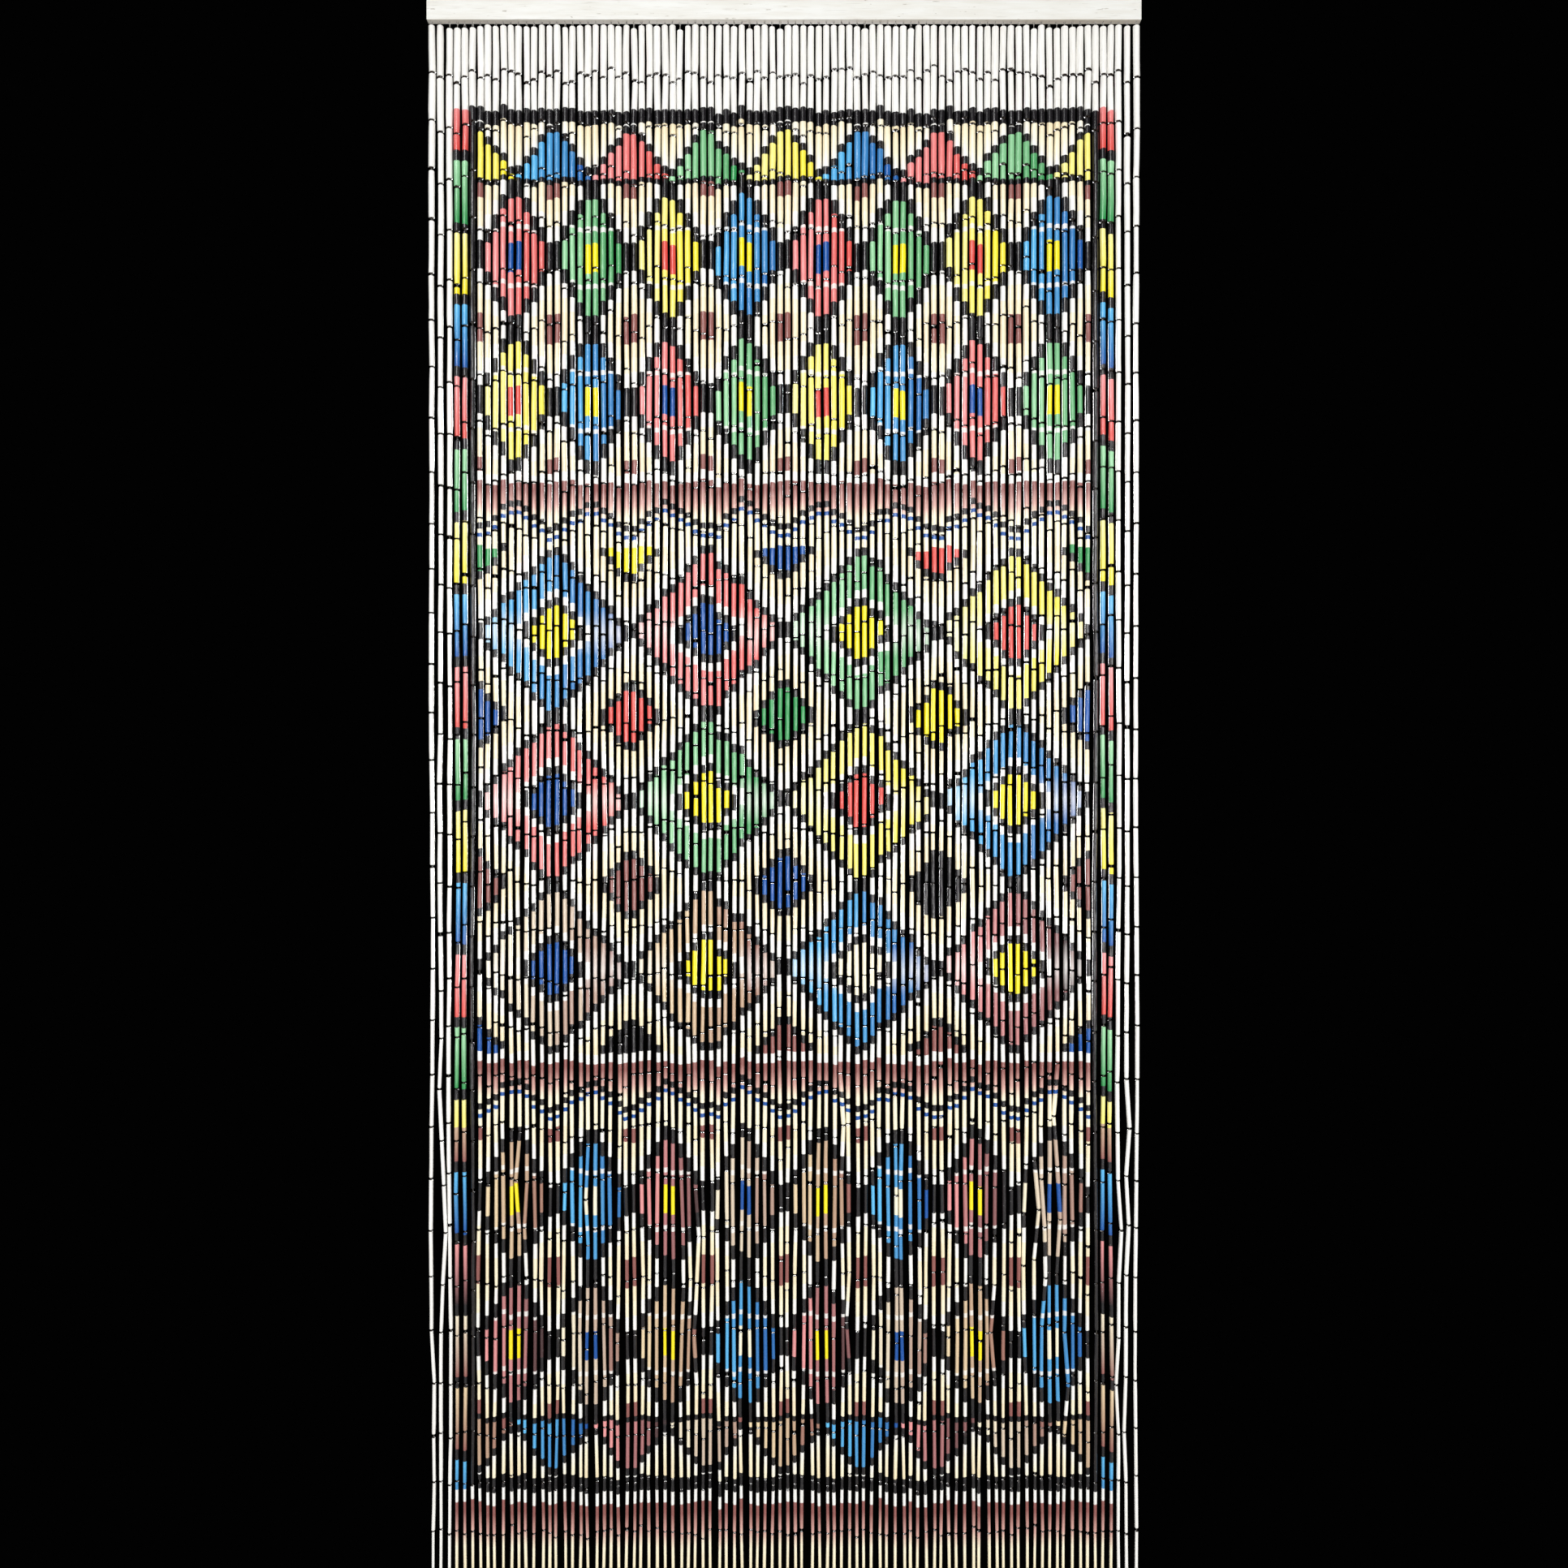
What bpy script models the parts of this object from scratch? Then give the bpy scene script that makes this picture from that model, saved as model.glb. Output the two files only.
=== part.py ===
"""Doorway curtain of bamboo bead strands on its wooden hanging bar, at its real size.

Metres, +Z up, the front faces -Y. The origin is the centre of the bar's back face.
The bar is one piece. The strands are one comb: a thin strip along the top edge with one
tapering, slightly wavering tooth for each strand.
"""
import math
import random

import bmesh
import bpy

# Driving dimensions of the whole curtain
CURTAIN_WIDTH = 0.900
CURTAIN_DROP = 2.000
BAR_HEIGHT = 0.030
BAR_DEPTH = 0.010
BAR_EDGE_RADIUS = 0.0008
PIECE_GAP = 0.0003

# The comb: how many strands, and where they hang
STRAND_COUNT = 92
BORDER_STRANDS = 3
BORDER_PITCH = 0.0112
EDGE_MARGIN = 0.0057
STRIP_HEIGHT = 0.0030
STRIP_DEPTH = 0.0050
TOOTH_SEAT = 0.0015

# Bead diameter, which shrinks downwards: (depth below the bar, diameter)
DIAMETER_BY_DEPTH = (
    (0.00, 0.0087),
    (0.12, 0.0083),
    (0.25, 0.0072),
    (0.50, 0.0066),
    (1.00, 0.0058),
    (1.50, 0.0053),
    (1.97, 0.0050),
)

# Heights of a tooth's cross-sections, as depths below the bar, closest where the strands waver most
SECTION_DEPTHS = (0.30, 0.65, 1.00, 1.28, 1.48, 1.62, 1.80)

# Slow sideways wander of every strand, largest at its loose end
WANDER_AT_END = 0.0011
WANDER_WAVES = (0.62, 1.15)
WANDER_SEED = 41

# Strands that hang out of line: (strand from the left, depth where the bow starts, depth where it
# ends, how far it bows to the right)
BOWED_STRANDS = (
    (1, 1.36, 1.70, 0.0042),
    (0, 1.62, 2.10, 0.0032),
    (6, 1.44, 1.74, -0.0034),
    (22, 0.86, 1.20, 0.0021),
    (32, 1.40, 1.74, 0.0050),
    (33, 1.46, 1.72, 0.0030),
    (47, 1.10, 1.52, -0.0024),
    (61, 1.30, 1.70, -0.0030),
    (77, 1.38, 1.76, -0.0046),
    (79, 1.40, 1.70, 0.0032),
    (90, 1.36, 2.06, -0.0036),
)
CLEARANCE_BETWEEN_STRANDS = 0.0005
SETTLING_PASSES = 30
CAP_WELD = 0.00001

BAR_COLOUR = (0.86, 0.85, 0.81, 1.0)
BAR_ROUGHNESS = 0.55
STRAND_COLOUR = (0.80, 0.74, 0.58, 1.0)
STRAND_ROUGHNESS = 0.45

BAR_UNDERSIDE = -BAR_HEIGHT / 2
STRAND_PLANE = -BAR_DEPTH / 2
STRAND_LENGTH = CURTAIN_DROP - BAR_HEIGHT


def diameter_at(depth):
    """The bead diameter at a depth below the bar."""
    for (above, wide), (below, narrow) in zip(DIAMETER_BY_DEPTH, DIAMETER_BY_DEPTH[1:]):
        if depth <= below:
            share = (depth - above) / (below - above)
            return wide + (narrow - wide) * share
    return DIAMETER_BY_DEPTH[-1][1]


def strand_centres():
    """Where the strands leave the bar: the border strands stand a little wider apart."""
    first = -CURTAIN_WIDTH / 2 + EDGE_MARGIN
    border_gaps = BORDER_STRANDS - 1
    inner_gaps = STRAND_COUNT - 1 - 2 * border_gaps
    inner_pitch = (-2 * first - 2 * border_gaps * BORDER_PITCH) / inner_gaps
    centres = [first]
    for gap in range(STRAND_COUNT - 1):
        at_border = gap < border_gaps or gap >= border_gaps + inner_gaps
        centres.append(centres[-1] + (BORDER_PITCH if at_border else inner_pitch))
    return centres


def wander_phases():
    """One pair of wave phases for each strand."""
    draw = random.Random(WANDER_SEED)
    return [[draw.uniform(0, 2 * math.pi) for _ in WANDER_WAVES] for _ in range(STRAND_COUNT)]


def bow_at(strand, depth):
    """How far a strand that hangs out of line stands to the right at a depth."""
    total = 0.0
    for bowed, start, end, sideways in BOWED_STRANDS:
        if bowed == strand and start < depth < end:
            total += sideways * math.sin(math.pi * (depth - start) / (end - start)) ** 2
    return total


def strands_at(depth, centres, phases):
    """The x of every strand at a depth, with neighbours pushed apart where they would meet."""
    reach = WANDER_AT_END * min(depth / STRAND_LENGTH, 1.0)
    places = []
    for strand, centre in enumerate(centres):
        waves = sum(
            math.sin(2 * math.pi * depth / length + phase)
            for length, phase in zip(WANDER_WAVES, phases[strand])
        )
        places.append(centre + reach * waves + bow_at(strand, depth))
    least = diameter_at(depth) + CLEARANCE_BETWEEN_STRANDS
    outermost = CURTAIN_WIDTH / 2 - diameter_at(depth) / 2
    for _ in range(SETTLING_PASSES):
        for left in range(STRAND_COUNT - 1):
            lack = least - (places[left + 1] - places[left])
            if lack > 0:
                places[left] -= lack / 2
                places[left + 1] += lack / 2
        places = [min(max(place, -outermost), outermost) for place in places]
    return places


def plain_material(name, colour, roughness):
    """A painted finish of one colour."""
    material = bpy.data.materials.new(name)
    material.use_nodes = True
    shader = material.node_tree.nodes["Principled BSDF"]
    shader.inputs["Base Color"].default_value = colour
    shader.inputs["Roughness"].default_value = roughness
    shader.inputs["Metallic"].default_value = 0.0
    return material


def block(name, width, depth, height, centre, collection):
    """A rectangular block around its centre."""
    mesh = bpy.data.meshes.new(name)
    shape = bmesh.new()
    bmesh.ops.create_cube(shape, size=1.0)
    bmesh.ops.scale(shape, vec=(width, depth, height), verts=shape.verts)
    shape.to_mesh(mesh)
    shape.free()
    made = bpy.data.objects.new(name, mesh)
    made.location = centre
    collection.objects.link(made)
    return made


def hanging_bar(collection):
    """The painted slat that the strands hang from, with lightly rounded edges."""
    centre = (0, STRAND_PLANE, 0)
    bar = block("hanging_bar", CURTAIN_WIDTH, BAR_DEPTH, BAR_HEIGHT, centre, collection)
    rounding = bar.modifiers.new("rounded_edges", "BEVEL")
    rounding.width = BAR_EDGE_RADIUS
    rounding.segments = 2
    bar.data.materials.append(plain_material("painted_wood", BAR_COLOUR, BAR_ROUGHNESS))
    return bar


def tooth_levels():
    """Depths below the bar of a tooth's cross-sections, from inside the strip to the loose end."""
    return (PIECE_GAP + TOOTH_SEAT, *SECTION_DEPTHS, STRAND_LENGTH)


def strand_teeth(collection):
    """All the strands as tapering tubes on one curve, made into a mesh with its caps joined.

    The curve's bevel is one metre, so a point's radius is the tube's own radius there.
    """
    curve = bpy.data.curves.new("strand_teeth", "CURVE")
    curve.dimensions = "3D"
    curve.bevel_depth = 1.0
    curve.bevel_resolution = 0
    curve.use_fill_caps = True
    centres = strand_centres()
    phases = wander_phases()
    levels = tooth_levels()
    rows = [strands_at(depth, centres, phases) for depth in levels]
    for strand in range(STRAND_COUNT):
        spline = curve.splines.new("POLY")
        spline.points.add(len(levels) - 1)
        for point, depth, places in zip(spline.points, levels, rows):
            point.co = (places[strand], STRAND_PLANE, BAR_UNDERSIDE - depth, 1.0)
            point.radius = diameter_at(depth) / 2
    guide = bpy.data.objects.new("strand_teeth_guide", curve)
    collection.objects.link(guide)
    depsgraph = bpy.context.evaluated_depsgraph_get()
    mesh = bpy.data.meshes.new_from_object(guide.evaluated_get(depsgraph))
    shape = bmesh.new()
    shape.from_mesh(mesh)
    bmesh.ops.remove_doubles(shape, verts=shape.verts, dist=CAP_WELD)
    bmesh.ops.recalc_face_normals(shape, faces=shape.faces)
    shape.to_mesh(mesh)
    shape.free()
    teeth = bpy.data.objects.new("strand_teeth", mesh)
    teeth.matrix_world = guide.matrix_world
    collection.objects.link(teeth)
    bpy.data.objects.remove(guide)
    teeth.hide_render = True
    teeth.display_type = "WIRE"
    return teeth


def bead_strands(collection, helpers):
    """The comb: the strip under the bar, joined with every strand."""
    strip_centre = (0, STRAND_PLANE, BAR_UNDERSIDE - PIECE_GAP - STRIP_HEIGHT / 2)
    strip_width = CURTAIN_WIDTH - 2 * PIECE_GAP
    comb = block("bead_strands", strip_width, STRIP_DEPTH, STRIP_HEIGHT, strip_centre, collection)
    joined = comb.modifiers.new("joined_strands", "BOOLEAN")
    joined.operation = "UNION"
    joined.object = strand_teeth(helpers)
    paint = plain_material("painted_bamboo", STRAND_COLOUR, STRAND_ROUGHNESS)
    comb.data.materials.append(paint)
    return comb


def main():
    """Clears the scene, then makes the curtain in its own collection."""
    for old in list(bpy.data.objects):
        bpy.data.objects.remove(old)
    curtain = bpy.data.collections.new("bead_curtain")
    helpers = bpy.data.collections.new("cutters")
    bpy.context.scene.collection.children.link(curtain)
    bpy.context.scene.collection.children.link(helpers)
    hanging_bar(curtain)
    bead_strands(curtain, helpers)


main()
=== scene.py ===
"""Looks of the bamboo bead curtain on its hanging bar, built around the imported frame.

The curtain is a painted slat with close strands of painted bamboo tubes under it. Each tube has
a wire eye in each end, hooked into its neighbour's. The paint is a mirrored design of stepped
diamonds between sprayed bands, laid over the strands as they hang side by side.
"""

import logging
import math
import random
from contextlib import contextmanager
from dataclasses import dataclass, field
from enum import Enum
from typing import Callable, Iterator, NamedTuple, Optional, Sequence, Union

import bmesh
import bpy
import numpy as np
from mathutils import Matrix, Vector, noise


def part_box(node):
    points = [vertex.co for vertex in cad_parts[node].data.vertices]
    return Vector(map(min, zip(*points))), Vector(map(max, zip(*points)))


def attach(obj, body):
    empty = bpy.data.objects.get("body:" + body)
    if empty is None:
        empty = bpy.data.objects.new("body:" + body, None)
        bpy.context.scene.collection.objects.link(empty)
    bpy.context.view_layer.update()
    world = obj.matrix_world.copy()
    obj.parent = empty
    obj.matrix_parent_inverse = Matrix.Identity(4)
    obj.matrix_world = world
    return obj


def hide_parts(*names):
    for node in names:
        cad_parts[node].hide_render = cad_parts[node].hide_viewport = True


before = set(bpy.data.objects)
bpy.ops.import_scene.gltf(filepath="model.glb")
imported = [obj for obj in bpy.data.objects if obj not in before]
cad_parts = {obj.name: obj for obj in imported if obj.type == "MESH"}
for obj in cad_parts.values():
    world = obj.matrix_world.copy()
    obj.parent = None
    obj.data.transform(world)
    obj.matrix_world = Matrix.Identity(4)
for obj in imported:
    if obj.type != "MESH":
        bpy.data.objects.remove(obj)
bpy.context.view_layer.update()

LOG = logging.getLogger("bead_curtain")
BODY = "root"
MAP_NAME = "OFBake"
MAP_EDGE = 0.02

# A span is the four limits that Signal.spread takes, and a strip a low and a high limit on the map.
Piece = bpy.types.Object
Span = tuple[float, float, float, float]
Strip = tuple[float, float]
Settings = Optional[dict[str, object]]
Number = Union[float, bpy.types.NodeSocket, "Signal"]
Colour = Union["Signal", "Paint"]


class Paint(Enum):
    """The colours on the beads, the bar, the wire and the floor."""

    WHITE = "#F3F2EF"
    CREAM = "#F9F1D6"
    SAND = "#EEDAB2"
    PALE_YELLOW = "#FAF4A8"
    YELLOW = "#F8E51C"
    PALE_GREEN = "#A6DDAE"
    GREEN = "#2F9350"
    SKY = "#63C0F2"
    BLUE = "#12509F"
    PINK = "#F2A0A2"
    CORAL = "#DB5049"
    ROSE = "#D2A49B"
    RUST = "#8F5854"
    CHARCOAL = "#1B191C"
    FLECK = "#C3C6C6"
    # Bare bamboo at the cut ends and bores, darkened as painted shade in the gaps between beads.
    SHADED_CUT_END = "#35271F"
    BAR_WHITE = "#DEDEDA"
    BAR_BRUSHED = "#D2CFC6"
    BAR_WORN = "#968D7F"
    # Warm brownish painted shade on the bar's underside.
    UNDERSIDE_SHADE = "#B39A76"
    WIRE = "#8A8884"
    WIRE_ZINC = "#C2C0BB"
    WIRE_TARNISH = "#4E4B47"
    FLOOR = "#B1AFAB"
    FLOOR_CLOUD = "#AAA8A3"

    @property
    def light(self) -> tuple[float, float, float, float]:
        """The colour in linear light, from the straight foot and the power curve of its display code.

        Returns:
            Red, green, blue and full cover.
        """
        shown = [int(self.value[start:start + 2], 16) / 255 for start in (1, 3, 5)]
        red, green, blue = (c / 12.92 if c <= 0.04045 else ((c + 0.055) / 1.055) ** 2.4 for c in shown)
        return (red, green, blue, 1.0)


@dataclass(frozen=True)
class Signal:
    """What varies over a surface or a mesh, such as a number: one output in a node tree."""

    tree: "Tree"
    socket: bpy.types.NodeSocket

    def math(self, operation: str, *others: Number) -> "Signal":
        """Works out one Math node that takes this number first.

        Args:
            operation: Blender's name for the sum.
            *others: The numbers that follow.

        Returns:
            The result.
        """
        node = self.tree.add("ShaderNodeMath", {"operation": operation})
        for socket, value in zip(node.inputs, (self, *others)):
            self.tree.feed(socket, value)
        return Signal(self.tree, node.outputs["Value"])

    def __add__(self, other: Number) -> "Signal":
        """The sum."""
        return self.math("ADD", other)

    def __sub__(self, other: Number) -> "Signal":
        """The difference."""
        return self.math("SUBTRACT", other)

    def __mul__(self, other: Number) -> "Signal":
        """The product."""
        return self.math("MULTIPLY", other)

    def __truediv__(self, other: Number) -> "Signal":
        """The quotient."""
        return self.math("DIVIDE", other)

    def size(self) -> "Signal":
        """The value without its sign."""
        return self.math("ABSOLUTE")

    def whole(self) -> "Signal":
        """The whole number at or below the value."""
        return self.math("FLOOR")

    def fold(self, half: float) -> "Signal":
        """Climbs from 0 to half and back, again and again."""
        return self.math("PINGPONG", half)

    def turn(self, count: float) -> "Signal":
        """The remainder, counted round from 0."""
        return self.math("FLOORED_MODULO", count)

    def over(self, limit: float) -> "Signal":
        """1 above the limit and 0 below it."""
        return self.math("GREATER_THAN", limit)

    def under(self, limit: float) -> "Signal":
        """1 below the limit and 0 above it."""
        return self.math("LESS_THAN", limit)

    def within(self, low: float, high: float) -> "Signal":
        """1 between the limits and 0 elsewhere."""
        return self.over(low) * self.under(high)

    def spread(self, low: float, high: float, new_low: float, new_high: float) -> "Signal":
        """Maps the span from low to high onto a new span, and holds it there."""
        return self.tree.out("ShaderNodeMapRange", Value=self, From_Min=low, From_Max=high, To_Min=new_low,
                             To_Max=new_high)


class Tree:
    """A node tree, with short calls for adding to it."""

    def __init__(self, tree: bpy.types.NodeTree) -> None:
        """Keeps the tree that the calls add to."""
        self.tree = tree

    def add(self, kind: str, settings: Settings = None, **values: object) -> bpy.types.Node:
        """Adds a node.

        Args:
            kind: Blender's name for it.
            settings: Its properties by name.
            **values: What its inputs take, by name, with underscores for spaces.

        Returns:
            The node.
        """
        node = self.tree.nodes.new(kind)
        for name, value in (settings or {}).items():
            setattr(node, name, value)
        for name, value in values.items():
            self.feed(next(s for s in node.inputs if s.enabled and s.name == name.replace("_", " ")), value)
        return node

    def out(self, kind: str, settings: Settings = None, **values: object) -> Signal:
        """Adds a node as add does, and gives its first output."""
        node = self.add(kind, settings, **values)
        return Signal(self, next(s for s in node.outputs if s.enabled))

    def feed(self, socket: bpy.types.NodeSocket, value: object) -> None:
        """Links an output to an input, or sets a plain value or a paint there.

        Args:
            socket: The input.
            value: What it takes.
        """
        source = value.socket if isinstance(value, Signal) else value
        if isinstance(source, bpy.types.NodeSocket):
            self.tree.links.new(source, socket)
        else:
            socket.default_value = source.light if isinstance(source, Paint) else source


class Stripe(NamedTuple):
    """One band of a striped motif, fading from its near edge to its far edge."""

    width: float
    near: Paint
    far: Paint


class Grain(NamedTuple):
    """Soft noise, mostly between 0.25 and 0.75: how close and how detailed, and its stretched axes."""

    scale: float
    detail: float = 2.0
    stretch: tuple[float, float, float] = (1.0, 1.0, 1.0)


class Board(Tree):
    """The node tree of one material, with short calls for what it is built from."""

    stripe_edge = 0.0004

    def __init__(self, name: str) -> None:
        """Starts a material with one Principled shader, and finds the place on the piece in metres.

        Args:
            name: The material's name.
        """
        self.material = bpy.data.materials.new(name)
        self.material.use_nodes = True
        super().__init__(self.material.node_tree)
        self.place = Signal(self, self.add("ShaderNodeTexCoord").outputs["Object"])

    def dress(self, **values: object) -> bpy.types.Material:
        """Feeds the shader.

        Args:
            **values: What its inputs take, by name, with underscores for spaces.

        Returns:
            The finished material.
        """
        shader = self.tree.nodes["Principled BSDF"]
        for name, value in values.items():
            self.feed(shader.inputs[name.replace("_", " ")], value)
        return self.material

    def attribute(self, name: str) -> Signal:
        """A number that the mesh carries."""
        settings = {"attribute_type": "GEOMETRY", "attribute_name": name}
        return Signal(self, self.add("ShaderNodeAttribute", settings).outputs["Fac"])

    def height(self) -> Signal:
        """The height on the piece."""
        return Signal(self, self.add("ShaderNodeSeparateXYZ", Vector=self.place).outputs["Z"])

    def noise(self, grain: Grain) -> Signal:
        """The value of a grain."""
        place = self.out("ShaderNodeMapping", Vector=self.place, Scale=grain.stretch)
        return self.out("ShaderNodeTexNoise", Vector=place, Scale=grain.scale, Detail=grain.detail)

    def bump(self, height: Signal, depth: float, strength: float) -> Signal:
        """Surface relief of a given depth in metres."""
        return self.out("ShaderNodeBump", Strength=strength, Distance=depth, Height=height)

    def mix(self, share: Number, below: Colour, above: Colour, blend: str = "MIX") -> Signal:
        """Lays one colour over another.

        Args:
            share: How much of the upper colour shows.
            below: The lower colour.
            above: The upper colour.
            blend: Blender's name for the way they mix.

        Returns:
            The mixed colour.
        """
        node = self.add("ShaderNodeMix", {"data_type": "RGBA", "blend_type": blend, "clamp_factor": True})
        for number, value in ((0, share), (6, below), (7, above)):
            self.feed(node.inputs[number], value)
        return Signal(self, node.outputs[2])

    def layered(self, place: Signal, first: Colour, *steps: tuple[float, Colour]) -> Colour:
        """Colours a motif by rings.

        Args:
            place: How far out a point is.
            first: The innermost colour.
            *steps: The limit from which each next colour holds, and the colour.

        Returns:
            The colour.
        """
        for limit, outer in steps:
            first = self.mix(place.over(limit), first, outer)
        return first

    def ramp(self, share: Signal, stops: Sequence[tuple[float, Paint]], style: str = "LINEAR") -> Signal:
        """Colours a share from 0 to 1.

        Args:
            share: How far along the ramp a point is.
            stops: Where each paint stands, in order.
            style: Blender's name for what lies between them.

        Returns:
            The colour.
        """
        node = self.add("ShaderNodeValToRGB", Fac=share)
        node.color_ramp.interpolation = style
        elements = node.color_ramp.elements
        elements[1].position = stops[-1][0]
        for position, _ in stops[1:-1]:
            elements.new(position)
        for element, (_, paint) in zip(elements, stops):
            element.color = paint.light
        return Signal(self, node.outputs["Color"])

    def pick(self, number: Signal, paints: Sequence[Paint]) -> Signal:
        """Picks a paint by a whole number from 0."""
        stops = [(place / len(paints), paint) for place, paint in enumerate(paints)]
        return self.ramp((number + 0.5) / len(paints), stops, "CONSTANT")

    def stripes(self, place: Signal, *bands: Stripe) -> Signal:
        """Colours a motif by bands that follow each other from 0.

        Args:
            place: How far into the motif a point is, in the bands' units.
            *bands: The bands, nearest first.

        Returns:
            The colour.
        """
        whole = sum(band.width for band in bands)
        stops = []
        start = 0.0
        for band in bands:
            end = start + band.width / whole
            stops += [(start, band.near), (end - self.stripe_edge, band.far)]
            start = end
        return self.ramp(place / whole, stops)


class Colourway(NamedTuple):
    """The paints of one motif: its fill goes from pale at the left to deep at the right."""

    pale: Paint
    deep: Paint
    core: Paint


BRIGHT_WAYS = (
    Colourway(Paint.PALE_YELLOW, Paint.YELLOW, Paint.CORAL),
    Colourway(Paint.SKY, Paint.BLUE, Paint.YELLOW),
    Colourway(Paint.PINK, Paint.CORAL, Paint.BLUE),
    Colourway(Paint.PALE_GREEN, Paint.GREEN, Paint.YELLOW),
)
EARTH_WAYS = (
    Colourway(Paint.SAND, Paint.RUST, Paint.YELLOW),
    Colourway(Paint.SKY, Paint.BLUE, Paint.CREAM),
    Colourway(Paint.PINK, Paint.CHARCOAL, Paint.YELLOW),
    Colourway(Paint.CREAM, Paint.RUST, Paint.BLUE),
)


@dataclass
class GeometricDesign:
    """The painted design: stepped diamonds between sprayed bands, mirrored top to bottom.

    Across, it is measured in strands from the middle. Along, it is measured in millimetres from
    its middle line: medallions, then a chevron band, small diamonds and a row of triangles.

    Attributes:
        board: The material that wears it.
        across: The strand's number from the middle of the curtain.
        depth: Millimetres below the bar.
        tone: Each bead's own shade, from 0 to 1.
    """

    board: Board
    across: Signal
    depth: Signal
    tone: Signal
    half_width: float = 43.0
    side_border_from: float = 40.0
    middle_depth: float = 982.0
    medallions_to: float = 318.0
    chevrons_to: float = 412.0
    diamonds_to: float = 776.0
    triangles_to: float = 870.0
    small_half: float = 5.0
    large_half: float = 10.0
    small_half_height: float = 91.0
    large_half_height: float = 106.0
    medallion_haze: Span = (2.0, 30.0, 0.55, 0.0)
    white_line: tuple[float, float] = (33.0, 39.0)
    white_share: float = 0.8
    tone_share: float = 0.3
    chevron_widths: tuple[float, ...] = (12, 9, 20, 16, 37)
    chevron_from: float = 30.0
    chevron_step: float = 8.0
    chevron_charcoal: tuple[float, float] = (0.0, 8.0)
    chevron_blue: tuple[float, float] = (13.0, 18.0)
    triangle_from: float = 6.0
    triangle_step: float = 13.0
    triangle_line: float = 10.0
    charcoal_bands: tuple[float, float] = (7.0, 76.0)
    foot_widths: tuple[float, ...] = (16, 12, 24, 20, 60)
    ladder: float = 91.0
    rung: float = 0.15

    def colour(self) -> Signal:
        """Lays the whole design out.

        Returns:
            The colour at each place.
        """
        board, side = self.board, self.across.size()
        self.from_middle = self.depth - self.middle_depth
        self.out = self.from_middle.size()
        self.lower_half = self.from_middle.over(0.0)
        self.zigzag = (self.across - self.small_half).fold(self.small_half)
        colour = board.layered(
            self.out, self.medallions(), (self.medallions_to, self.chevrons()),
            (self.chevrons_to, self.diamonds()), (self.diamonds_to, self.triangles()))
        colour = board.mix(side.over(self.side_border_from), colour, self.side_border(side))
        colour = board.mix(self.out.over(self.triangles_to), colour, self.ends())
        return board.mix(side.over(self.half_width), colour, Paint.WHITE)

    def way(self, count: Signal, earthy: Signal) -> Signal:
        """The number of a motif's colourway: the bright ones in turn, or the earthy ones."""
        return count.turn(len(BRIGHT_WAYS)) + earthy * len(BRIGHT_WAYS)

    def accent(self, way: Signal, part: str) -> Signal:
        """The paint of one part of a motif in its colourway."""
        return self.board.pick(way, [getattr(paints, part) for paints in BRIGHT_WAYS + EARTH_WAYS])

    def fill(self, way: Signal, width: float, start: float = 0.0) -> Signal:
        """A fill that steps from pale to deep over a width in strands, from a start left of the middle."""
        share = (self.across + start).turn(width) / width + (self.tone - 0.5) * self.tone_share
        return self.board.mix(share, self.accent(way, "pale"), self.accent(way, "deep"))

    def steps(self, along: Signal, half: float, half_height: float) -> tuple[Signal, Signal]:
        """A stepped diamond's millimetres from its middle line, and its steps from its middle."""
        high = along.fold(half_height)
        return high, (self.across - half).fold(half) + (high / (half_height / half)).whole()

    def sprayed(self, place: Signal, widths: Sequence[float], last: Paint) -> Signal:
        """Sprays a rust band with a white edge, which fades to cream and then to a last paint.

        Args:
            place: How far into the band a point is, in millimetres.
            widths: How wide the white edge, the rust and the three fades are.
            last: The paint that it ends in.

        Returns:
            The colour.
        """
        fades = (
            (Paint.WHITE, Paint.WHITE), (Paint.RUST, Paint.RUST), (Paint.RUST, Paint.ROSE),
            (Paint.ROSE, Paint.CREAM), (Paint.CREAM, last))
        return self.board.stripes(place, *(Stripe(width, *fade) for width, fade in zip(widths, fades)))

    def medallions(self) -> Colour:
        """Paints three rows of four stepped medallions, with small diamonds at their corners.

        Returns:
            The colour.
        """
        board, half, width = self.board, self.large_half_height, 2 * self.large_half
        high, step = self.steps(self.out, self.large_half, half)
        row = ((self.from_middle + half) / (2 * half)).whole()
        way = self.way((self.across / width).whole() + row, self.from_middle.over(half))
        fill = board.mix(high.spread(*self.medallion_haze), self.fill(way, width), Paint.WHITE)
        ground = board.stripes(
            step - 10, Stripe(2, Paint.WHITE, Paint.WHITE), Stripe(4, Paint.CREAM, Paint.SAND))
        corner_column = ((self.across + self.large_half) / width).whole()
        corner_row = (self.from_middle / (2 * half)).whole()
        corner = self.accent(self.way(corner_column + corner_row * 2 + 1, self.lower_half), "deep")
        return board.layered(
            step, self.accent(way, "core"), (3, Paint.CHARCOAL), (4, Paint.WHITE), (5, fill),
            (9, Paint.CHARCOAL), (10, ground), (15, Paint.CHARCOAL), (16, corner))

    def diamonds(self) -> Colour:
        """Paints two rows of small stepped diamonds.

        Returns:
            The colour.
        """
        board, half, width = self.board, self.small_half_height, 2 * self.small_half
        inside = self.out - self.chevrons_to
        high, step = self.steps(inside - half, self.small_half, half)
        row = (inside / (2 * half)).whole()
        way = self.way((self.across / width).whole() + row * 2, self.lower_half)
        line = high.within(*self.white_line) * self.white_share
        fill = board.mix(line, self.fill(way, width), Paint.WHITE)
        ground = board.stripes(step - 6, Stripe(3, Paint.CREAM, Paint.SAND))
        return board.layered(
            step, self.accent(way, "core"), (1, fill), (4, Paint.CHARCOAL), (5, Paint.WHITE),
            (6, ground), (8, Paint.RUST))

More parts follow.
